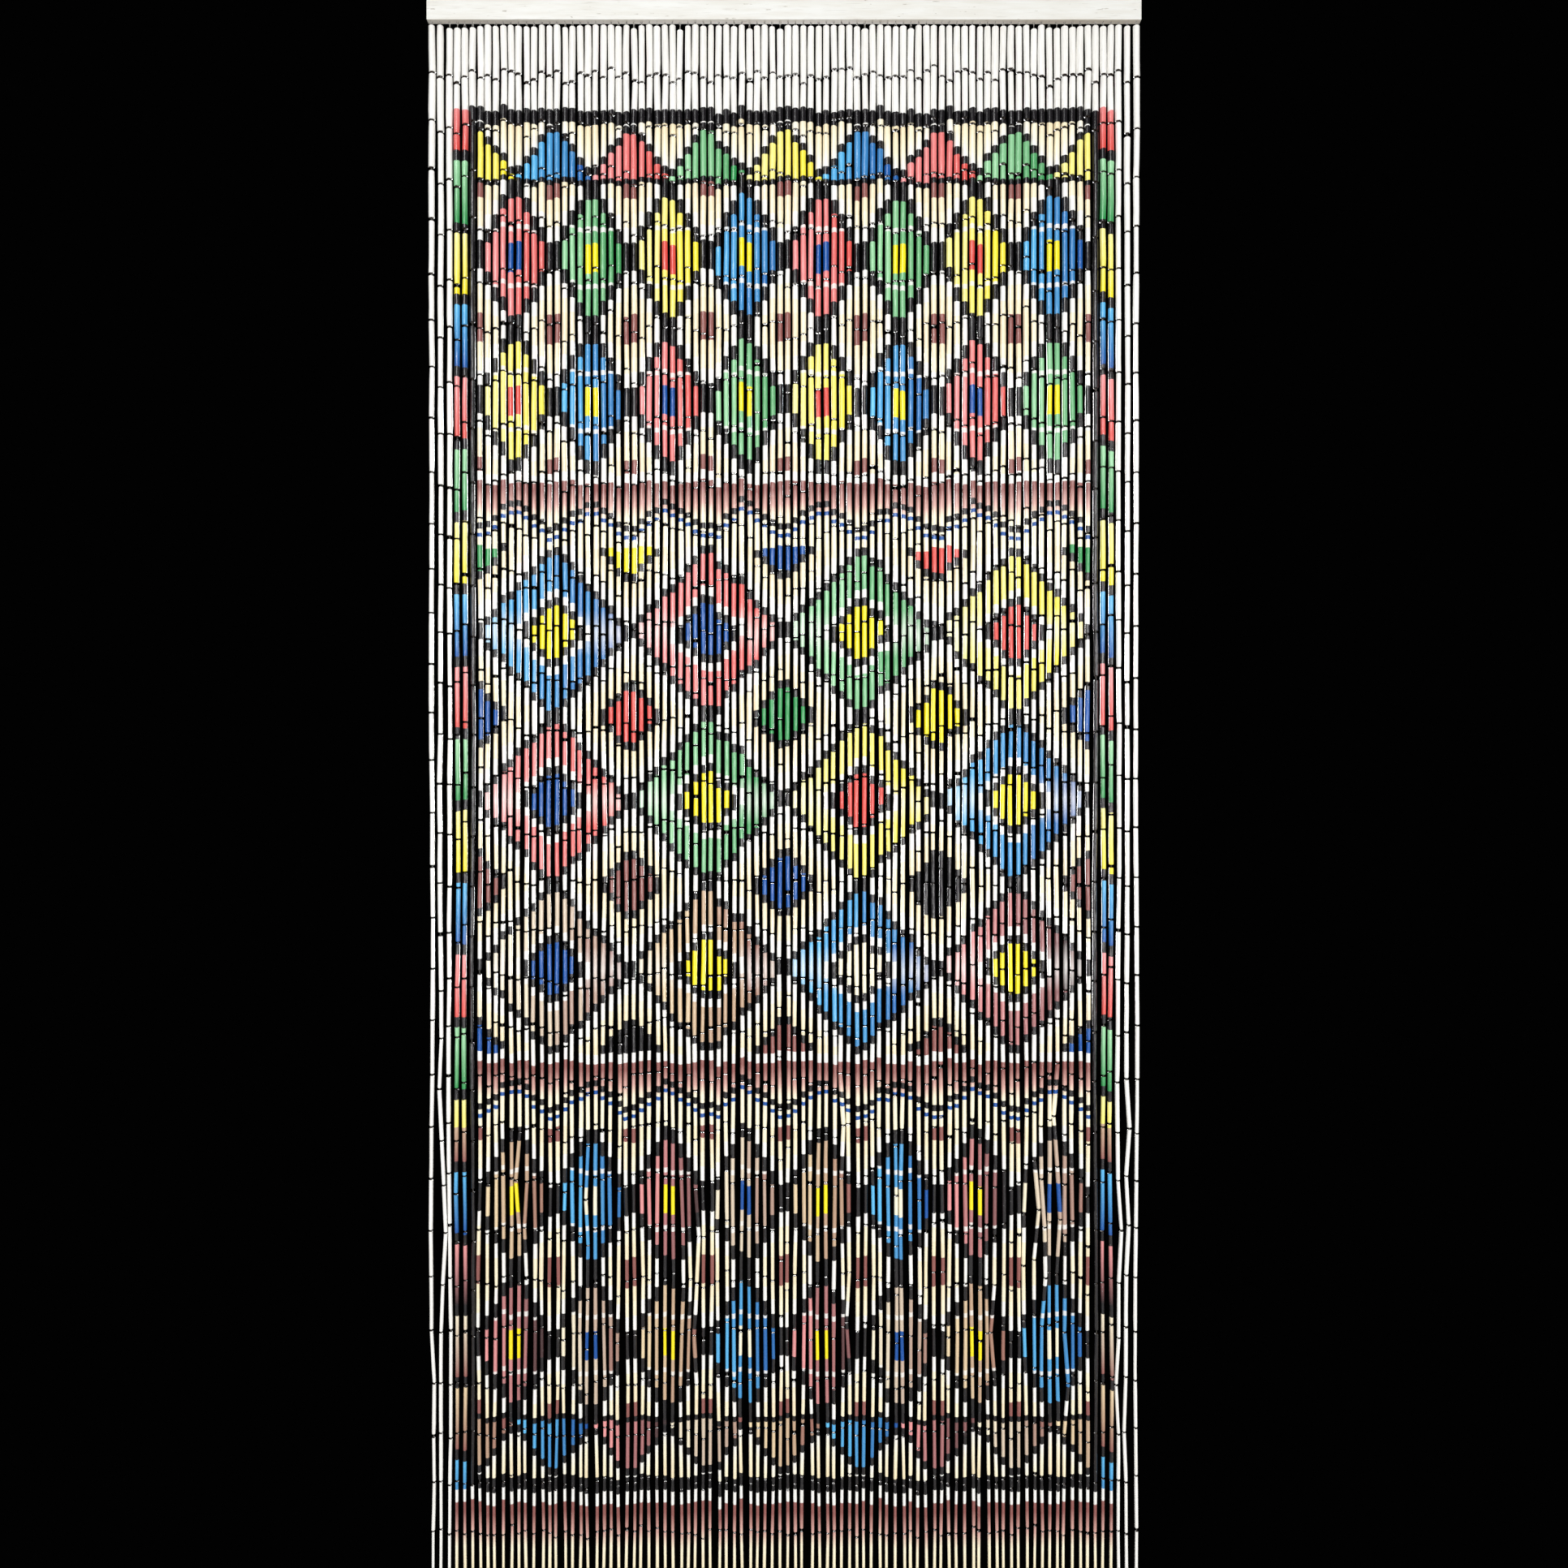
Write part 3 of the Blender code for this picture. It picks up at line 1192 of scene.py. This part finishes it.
class Recipe(Tree):
    """The Geometry Nodes tree that sets unit shapes on points and lays out their map.

    Each point carries a lie, a size, a shape's number, and the column and row of its cell on the
    piece's map.
    """

    given_kinds = {
        "Geometry": "Geometry", "Shapes": "Collection", "Finish": "Material", "Spin Seed": "Int",
        "Columns": "Float", "Rows": "Float", "Cell Margin": "Float",
    }
    kept_always = {MAP_NAME, "sharp_edge", "sharp_face", "material_index"}

    def __init__(self) -> None:
        """Builds the tree."""
        super().__init__(bpy.data.node_groups.new("shapes_on_points", "GeometryNodeTree"))
        self.tree.is_modifier = True
        interface = self.tree.interface
        self.sockets = {
            label: interface.new_socket(label, in_out="INPUT", socket_type=f"NodeSocket{kind}")
            for label, kind in self.given_kinds.items()
        }
        interface.new_socket("Geometry", in_out="OUTPUT", socket_type="NodeSocketGeometry")
        given = self.add("NodeGroupInput").outputs
        shapes = self.out("GeometryNodeCollectionInfo", Collection=given["Shapes"], Separate_Children=True,
                          Reset_Children=True)
        stand = self.out("FunctionNodeAlignRotationToVector", {"axis": "Z"},
                         Vector=self.named("lie", "FLOAT_VECTOR"))
        turn = self.out("FunctionNodeRandomValue", {"data_type": "FLOAT"}, Min=0.0, Max=2 * math.pi,
                        Seed=given["Spin Seed"])
        spin = self.out("FunctionNodeAxisAngleToRotation", Axis=(0.0, 0.0, 1.0), Angle=turn)
        lie = self.out("FunctionNodeRotateRotation", {"rotation_space": "LOCAL"}, Rotation=stand,
                       Rotate_By=spin)
        placed = self.out("GeometryNodeInstanceOnPoints", Points=given["Geometry"], Instance=shapes,
                          Pick_Instance=True, Instance_Index=self.named("shape", "INT"), Rotation=lie,
                          Scale=self.named("size", "FLOAT_VECTOR"))
        real = self.out("GeometryNodeRealizeInstances", Geometry=placed)
        own_map = self.add("ShaderNodeSeparateXYZ", Vector=self.named(MAP_NAME, "FLOAT_VECTOR")).outputs
        margin = Signal(self, given["Cell Margin"])
        across, up = (
            (self.named(cell) + Signal(self, own_map[axis]) * (margin * -2 + 1) + margin) / given[cells]
            for axis, cell, cells in (("X", "column", "Columns"), ("Y", "row", "Rows")))
        place = self.out("ShaderNodeCombineXYZ", X=across, Y=up)
        mapped = self.out("GeometryNodeStoreNamedAttribute", {"data_type": "FLOAT2", "domain": "CORNER"},
                          Geometry=real, Name=MAP_NAME, Value=place)
        dressed = self.out("GeometryNodeSetMaterial", Geometry=mapped, Material=given["Finish"])
        self.add("NodeGroupOutput", Geometry=dressed)

    def named(self, name: str, kind: str = "FLOAT") -> Signal:
        """A value that the geometry carries."""
        return self.out("GeometryNodeInputNamedAttribute", {"data_type": kind}, Name=name)

    def run(self, name: str, points: Piece, keep: Sequence[str], **values: object) -> Piece:
        """Runs the tree on some points and keeps the result as a plain mesh.

        Args:
            name: The new piece's name.
            points: The object that holds the points. It is used up.
            keep: The carried values that the piece's finish reads.
            **values: The tree's inputs, named with underscores.

        Returns:
            The new piece.
        """
        modifier = points.modifiers.new("shapes_on_points", "NODES")
        modifier.node_group = self.tree
        for label, value in values.items():
            modifier[self.sockets[label.replace("_", " ")].identifier] = value
        depsgraph = bpy.context.evaluated_depsgraph_get()
        mesh = bpy.data.meshes.new_from_object(
            points.evaluated_get(depsgraph), preserve_all_data_layers=True, depsgraph=depsgraph)
        points.modifiers.remove(modifier)
        bpy.data.objects.remove(points)
        needed = self.kept_always | set(keep)
        for label in [a.name for a in mesh.attributes if not (a.is_required or a.is_internal)]:
            if label not in needed:
                mesh.attributes.remove(mesh.attributes[label])
        mesh.name = name
        return put(name, mesh)


def point_cloud(name: str, places: np.ndarray, **carried: np.ndarray) -> Piece:
    """Makes loose points that carry named values.

    Args:
        name: The object's name.
        places: One row of x, y, z for each point.
        **carried: Values for each point: whole numbers, numbers or vectors.

    Returns:
        The object.
    """
    mesh = bpy.data.meshes.new(name)
    mesh.vertices.add(len(places))
    mesh.vertices.foreach_set("co", places.astype(np.float32).ravel())
    for label, values in carried.items():
        vector = values.ndim == 2
        whole = values.dtype.kind in "iu"
        kind = "FLOAT_VECTOR" if vector else "INT" if whole else "FLOAT"
        plain = values.astype(np.int32 if whole else np.float32).ravel()
        mesh.attributes.new(label, kind, "POINT").data.foreach_set("vector" if vector else "value", plain)
    return put(name, mesh)


class Bead(NamedTuple):
    """One bead on a strand: where it starts and ends, and how far its paint has slipped."""

    strand: int
    number: int
    above: float
    below: float
    top_x: float
    top_y: float
    foot_x: float
    foot_y: float
    slip: float


class Joint(NamedTuple):
    """One wire joint: its place, and how far it is pulled apart against its usual height."""

    strand: int
    depth: float
    x: float
    y: float
    pull: float


class Lean(NamedTuple):
    """A strand pushed out of line at one of its joints, and how far right it stands there."""

    strand: int
    joint: int
    sideways: float


def columns(rows: Sequence[NamedTuple]) -> dict[str, np.ndarray]:
    """Turns rows of named values into one array for each name."""
    return {name: np.array([getattr(row, name) for row in rows]) for name in rows[0]._fields}


@dataclass
class BeadStrands:
    """All the strands: tubes strung one under the other, and the wire between them."""

    plan: StrandPlan = field(default_factory=StrandPlan)
    bead_shapes: BeadShapes = field(default_factory=BeadShapes)
    wire_shapes: WireShapes = field(default_factory=WireShapes)
    panels: int = 8
    beads_a_strand: int = 31
    mean_length: float = 0.0634
    length_spread: float = 0.0034
    length_limits: tuple[float, float] = (-2.4, 2.2)
    seed: int = 7
    first_length_spread: float = 1.5
    usual_gap: tuple[float, float] = (0.0014, 0.0025)
    wide_gap: tuple[float, float] = (0.0030, 0.0050)
    wide_share: float = 0.08
    first_gap: float = 1.35
    hang: tuple[float, float] = (0.0046, 0.0072)
    low_hang: tuple[float, float] = (0.0074, 0.0116)
    low_share: float = 0.22
    hanger_lift: float = 0.001
    hanger_spare: float = 0.005
    uneven_foot: float = 0.007
    joint_jitter: float = 0.00021
    top_jitter: float = 0.00054
    depth_jitter: float = 0.0004
    slimness: tuple[tuple[float, float], ...] = ((0.0, 0.95), (1.3, 0.93), (1.84, 0.84), (1.91, 0.72))
    girth_spread: float = 0.062
    girth_limits: tuple[float, float] = (-2.0, 1.6)
    slip_spread: float = 2.2
    bead_slip: float = 0.4
    touch: float = 0.00008
    touch_step: float = 0.006
    touch_passes: int = 4
    touch_ease: float = 1.05
    map_rows: int = 11
    bead_margin: float = 0.02
    eyes_a_row: int = 38
    hangers_a_row: int = 10
    wire_margin: float = 0.04
    wire_for_diameter: float = 0.0068
    wire_sizes: tuple[float, float] = (0.72, 1.15)
    leans: tuple[Lean, ...] = (
        Lean(0, 27, 0.0024),
        Lean(1, 21, -0.0026),
        Lean(1, 24, 0.0022),
        Lean(11, 23, -0.0046),
        Lean(12, 24, -0.0030),
        Lean(20, 23, -0.0030),
        Lean(34, 24, 0.0030),
        Lean(34, 26, -0.0032),
        Lean(35, 24, 0.0010),
        Lean(53, 22, 0.0032),
        Lean(54, 26, -0.0040),
        Lean(73, 26, -0.0040),
        Lean(78, 24, 0.0060),
        Lean(79, 24, 0.0024),
        Lean(79, 25, 0.0036),
        Lean(81, 22, -0.0044),
        Lean(81, 24, 0.0040),
        Lean(82, 27, 0.0044),
        Lean(89, 24, 0.0036),
        Lean(89, 27, -0.0030),
        Lean(90, 22, 0.0036),
        Lean(90, 24, 0.0028),
        Lean(90, 28, -0.0024),
    )

    def string(self) -> tuple[list[Bead], list[Joint], list[Joint]]:
        """Works out every bead and joint.

        Returns:
            The beads, the joints between them, and the joints under the bar.
        """
        draw = random.Random(self.seed)
        depths, xs = self.plan.grid()
        beads, joints, hangers = [], [], []
        spread = self.length_spread / self.mean_length
        least, most = self.length_limits
        leans = {(lean.strand, lean.joint): lean.sideways for lean in self.leans}
        for strand in range(self.plan.count):
            low = draw.random() < self.low_share
            hang = draw.uniform(*(self.low_hang if low else self.hang))
            gaps = [draw.uniform(*(self.wide_gap if draw.random() < self.wide_share else self.usual_gap))
                    for _ in range(self.beads_a_strand - 1)] + [0.0]
            gaps[0] *= self.first_gap
            draws = [draw.gauss(0, 1) for _ in range(self.beads_a_strand)]
            lengths = [1 + max(least, min(most, drawn_length)) * spread for drawn_length in draws]
            lengths[0] = 1 + (lengths[0] - 1) * self.first_length_spread
            room = self.plan.length - hang - sum(gaps) - draw.uniform(0, self.uneven_foot)
            scale = room / sum(lengths)
            slip = draw.gauss(0, self.slip_spread)
            top = self.joint_place(draw, float(np.interp(hang, depths, xs[:, strand])), 0)
            pull = (hang + self.hanger_spare) / self.wire_shapes.hanger_height
            hangers.append(Joint(strand, hang / 2 - self.hanger_lift, *top, pull))
            depth = hang
            for number, (length, gap) in enumerate(zip(lengths, gaps)):
                below = depth + length * scale
                x = float(np.interp(below + gap / 2, depths, xs[:, strand]))
                foot = self.joint_place(draw, x + leans.get((strand, number + 1), 0.0), number + 1)
                slipped = slip + draw.gauss(0, self.slip_spread * self.bead_slip)
                beads.append(Bead(strand, number, depth, below, *top, *foot, slipped))
                if gap:
                    joints.append(Joint(strand, below + gap / 2, *foot, 1.0))
                depth = below + gap
                top = foot
        return beads, joints, hangers

    def joint_place(self, draw: random.Random, x: float, number: int) -> tuple[float, float]:
        """Moves one joint of a strand a little aside, and forwards or back.

        Args:
            draw: Where the uneven places are drawn from.
            x: Where the strand runs.
            number: The joint's number, 0 under the bar.

        Returns:
            The x and y of the joint.
        """
        jitter = self.top_jitter if number in (1, 2) else self.joint_jitter
        x += draw.gauss(0, 1) * jitter
        return x, self.plan.plane + draw.gauss(0, 1) * self.depth_jitter * min(1.0, number)

    def radii(self, draw: random.Random, beads: dict[str, np.ndarray]) -> np.ndarray:
        """Works out how thick the beads are, thinned where they would run into a neighbour.

        Args:
            draw: Where the uneven girths are drawn from.
            beads: The beads' values by name.

        Returns:
            The radius of each bead.
        """
        middle = (beads["above"] + beads["below"]) / 2
        spread = np.array([draw.gauss(0, 1) for _ in middle]).clip(*self.girth_limits) * self.girth_spread
        radii = self.plan.diameter(middle) / 2 * np.interp(middle, *zip(*self.slimness)) * (1 + spread)
        grid = np.arange(0.0, self.plan.length, self.touch_step)
        place = np.zeros((self.plan.count, len(grid)))
        bead = np.zeros((self.plan.count, len(grid)), int)
        for strand in range(self.plan.count):
            mine = np.flatnonzero(beads["strand"] == strand)
            knots = np.append(beads["above"][mine], beads["below"][mine[-1]])
            aside = np.append(beads["top_x"][mine], beads["foot_x"][mine[-1]])
            place[strand] = np.interp(grid, knots, aside)
            bead[strand] = mine[np.clip(np.searchsorted(beads["below"][mine], grid), 0, len(mine) - 1)]
        for _ in range(self.touch_passes):
            for left in range(self.plan.count - 1):
                room = place[left + 1] - place[left] - self.touch
                both = radii[bead[left]] + radii[bead[left + 1]]
                share = np.minimum(1.0, room / (both * self.touch_ease))
                for side in (left, left + 1):
                    np.minimum.at(radii, bead[side], radii[bead[side]] * share)
        return radii

    def build(self) -> list[Piece]:
        """Makes the panels of beads and the wires.

        Returns:
            The pieces, which stand for the frame's comb.
        """
        strung, joints, hangers = self.string()
        recipe = Recipe()
        pieces = self.string_panels(recipe, columns(strung))
        dull = WireFinish().material()
        fresh = WireFinish("fresh_wire", Paint.WIRE_ZINC, 0.4).material()
        half = (len(joints) + 1) // 2
        eyes = self.wire_shapes.linked_eyes
        for name, members, shape, finish, row_length in (
            ("wire_eyes_1", joints[:half], eyes, dull, self.eyes_a_row),
            ("wire_eyes_2", joints[half:], eyes, dull, self.eyes_a_row),
            ("wire_hangers", hangers, self.wire_shapes.hanger, fresh, self.hangers_a_row),
        ):
            with stored(f"{name}_shape", [shape()]) as store:
                pieces.append(self.wires(
                    recipe, name, columns(members), row_length, Shapes=store, Finish=finish))
        return pieces

    def string_panels(self, recipe: Recipe, beads: dict[str, np.ndarray]) -> list[Piece]:
        """Makes the beads, some strands to a piece.

        Args:
            recipe: The tree that sets shapes on points.
            beads: The beads' values by name.

        Returns:
            The pieces.
        """
        radii = self.radii(random.Random(self.seed + 1), beads)
        draw = random.Random(self.seed + 2)
        paint = BambooPaint(underside=self.plan.underside).material()
        strand = beads["strand"]
        top, foot = (
            np.column_stack((beads[f"{end}_x"], beads[f"{end}_y"], self.plan.underside - beads[depth]))
            for end, depth in (("top", "above"), ("foot", "below")))
        picks = np.array([draw.randrange(len(self.bead_shapes.girths)) for _ in strand])
        tones = np.array([draw.random() for _ in strand])
        folds = math.ceil(self.beads_a_strand / self.map_rows)
        pieces = []
        with stored("bead_shapes", self.bead_shapes.make()) as store:
            for panel, members in enumerate(np.array_split(np.arange(self.plan.count), self.panels)):
                mine = np.isin(strand, members)
                rod = (top - foot)[mine]
                length = np.linalg.norm(rod, axis=1)
                number = beads["number"][mine]
                points = point_cloud(
                    f"bead_points_{panel + 1}", ((top + foot) / 2)[mine],
                    lie=rod / length[:, None], size=np.column_stack((radii[mine], radii[mine], length)),
                    shape=picks[mine], strand_number=strand[mine] - (self.plan.count - 1) / 2,
                    slip=beads["slip"][mine], tone=tones[mine],
                    column=((strand[mine] - members[0]) * folds + number // self.map_rows).astype(float),
                    row=(number % self.map_rows).astype(float))
                piece = recipe.run(
                    f"beads_{panel + 1}", points, ("strand_number", "slip", "tone", "cut"), Shapes=store,
                    Finish=paint, Spin_Seed=self.seed + panel, Columns=float(len(members) * folds),
                    Rows=float(self.map_rows), Cell_Margin=self.bead_margin)
                seat(piece, "bead_strands")
                pieces.append(piece)
        return pieces

    def wires(self, recipe: Recipe, name: str, joints: dict[str, np.ndarray], row_length: int,
              **given: object) -> Piece:
        """Makes one piece of wire shapes.

        Args:
            recipe: The tree that sets shapes on points.
            name: The piece's name.
            joints: The joints' values by name.
            row_length: How many shapes share a row of the map, and how many rows it has.
            **given: The shape and the finish, as the tree's inputs.

        Returns:
            The piece.
        """
        size = np.clip(self.plan.diameter(joints["depth"]) / self.wire_for_diameter, *self.wire_sizes)
        number = np.arange(len(size))
        places = np.column_stack((joints["x"], joints["y"], self.plan.underside - joints["depth"]))
        points = point_cloud(
            f"{name}_points", places, lie=np.tile((0.0, 0.0, 1.0), (len(size), 1)),
            size=np.column_stack((size, size, size * joints["pull"])), shape=np.zeros(len(size), int),
            column=(number % row_length).astype(float), row=(number // row_length).astype(float))
        piece = recipe.run(name, points, (), Spin_Seed=self.seed + len(size), Columns=float(row_length),
                           Rows=float(row_length), Cell_Margin=self.wire_margin, **given)
        seat(piece, "bead_strands")
        return piece


@dataclass
class HangingBar:
    """The painted slat, planed by hand: its faces and edges are very slightly uneven."""

    edge_radius: float = 0.0009
    edge_segments: int = 3
    columns: int = 120
    rows: int = 6
    unevenness: float = 0.00014
    wave_scale: tuple[float, float, float] = (9.0, 30.0, 30.0)
    wave_seed: int = 5
    inset: float = 0.0002

    def build(self) -> Piece:
        """Makes the bar in the frame's place.

        Returns:
            The piece.
        """
        low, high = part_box("hanging_bar")
        inset = Vector((self.inset,) * 3)
        shape = block(low + inset, high - inset, self.columns, self.rows)
        noise.seed_set(self.wave_seed)
        for vert in shape.verts:
            wave = noise.noise_vector(vert.co * Vector(self.wave_scale))
            vert.co += Vector((0.0, wave.y, wave.z)) * self.unevenness
        for face in shape.faces:
            face.smooth = True
        piece = put("bar_slat", drawn("bar_slat", shape))
        piece.data.materials.append(BarPaint().material())
        eased = piece.modifiers.new("eased_edges", "BEVEL")
        eased.width = self.edge_radius
        eased.segments = self.edge_segments
        eased.limit_method = "ANGLE"
        eased.harden_normals = True
        seat(piece, "hanging_bar")
        return piece


@dataclass(frozen=True)
class Photograph:
    """How the photograph frames the curtain, in its own pixels, and where it was taken from."""

    side: int = 1932
    left_edge: int = 525
    right_edge: int = 1407
    bar_underside: float = 24.0
    distance: float = 1.50
    sensor: float = 36.0

    def camera(self) -> None:
        """Sets up the level camera, square to the curtain."""
        low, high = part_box("hanging_bar")
        pixel = (high.x - low.x) / (self.right_edge - self.left_edge)
        middle_x = (low.x + high.x) / 2 + pixel * (self.side / 2 - (self.left_edge + self.right_edge) / 2)
        middle_z = low.z - pixel * (self.side / 2 - self.bar_underside)
        lens = bpy.data.cameras.new("photo_camera")
        lens.sensor_width = self.sensor
        lens.lens = self.sensor * self.distance / (pixel * self.side)
        lens.dof.use_dof = False
        camera = put("photo_camera", lens)
        camera.location = (middle_x, low.y - self.distance, middle_z)
        camera.rotation_euler = (math.pi / 2, 0.0, 0.0)
        bpy.context.scene.camera = camera


class Lamp(NamedTuple):
    """A soft rectangular light and where it points."""

    name: str
    place: tuple[float, float, float]
    target: tuple[float, float, float]
    size: tuple[float, float]
    watts: float


@dataclass(frozen=True)
class Studio:
    """Plain pale floor and soft light."""

    floor_height: float = -2.06
    floor_width: float = 7.0
    floor_front: float = -3.48
    floor_back: float = 0.12
    floor_thickness: float = 0.02
    room_tone: float = 0.0006
    lamp_spread: float = 140.0
    lamps: tuple[Lamp, ...] = (
        Lamp("front_left", (-1.0, -3.0, -0.35), (0.0, 0.0, -1.15), (0.9, 3.4), 71.0),
        Lamp("front_right", (2.2, -2.2, -0.9), (0.0, 0.0, -1.3), (0.8, 2.2), 38.0),
        Lamp("behind", (0.0, 3.3, -0.6), (0.0, 0.0, -1.15), (1.0, 2.6), 98.0),
    )

    def build(self) -> None:
        """Lays the floor and hangs the lamps."""
        low = Vector((-self.floor_width / 2, self.floor_front, self.floor_height - self.floor_thickness))
        high = Vector((self.floor_width / 2, self.floor_back, self.floor_height))
        floor = put("floor", drawn("floor", block(low, high)))
        floor.data.materials.append(FloorFinish().material())
        for lamp in self.lamps:
            self.hang(lamp)
        world = bpy.data.worlds.new("dim_room")
        world.use_nodes = True
        world.node_tree.nodes["Background"].inputs["Color"].default_value = (self.room_tone,) * 3 + (1.0,)
        bpy.context.scene.world = world
        bpy.context.scene.view_settings.view_transform = "Standard"

    def hang(self, lamp: Lamp) -> None:
        """Adds one soft light.

        Args:
            lamp: What it is like.
        """
        light = bpy.data.lights.new(lamp.name, "AREA")
        light.shape = "RECTANGLE"
        light.size, light.size_y = lamp.size
        light.energy = lamp.watts
        light.spread = math.radians(self.lamp_spread)
        holder = put(lamp.name, light)
        holder.location = lamp.place
        aim = Vector(lamp.target) - Vector(lamp.place)
        holder.rotation_euler = aim.to_track_quat("-Z", "Y").to_euler()
        holder.visible_camera = False


def main() -> None:
    """Builds the camera, the studio, the bar and the strands."""
    logging.basicConfig(level=logging.INFO, format="%(name)s %(message)s")
    Photograph().camera()
    Studio().build()
    for piece in (HangingBar().build(), *BeadStrands().build()):
        triangles = sum(len(face.vertices) - 2 for face in piece.data.polygons)
        LOG.info("%s: %d triangles", piece.name, triangles)


if __name__ == "__main__":
    main()
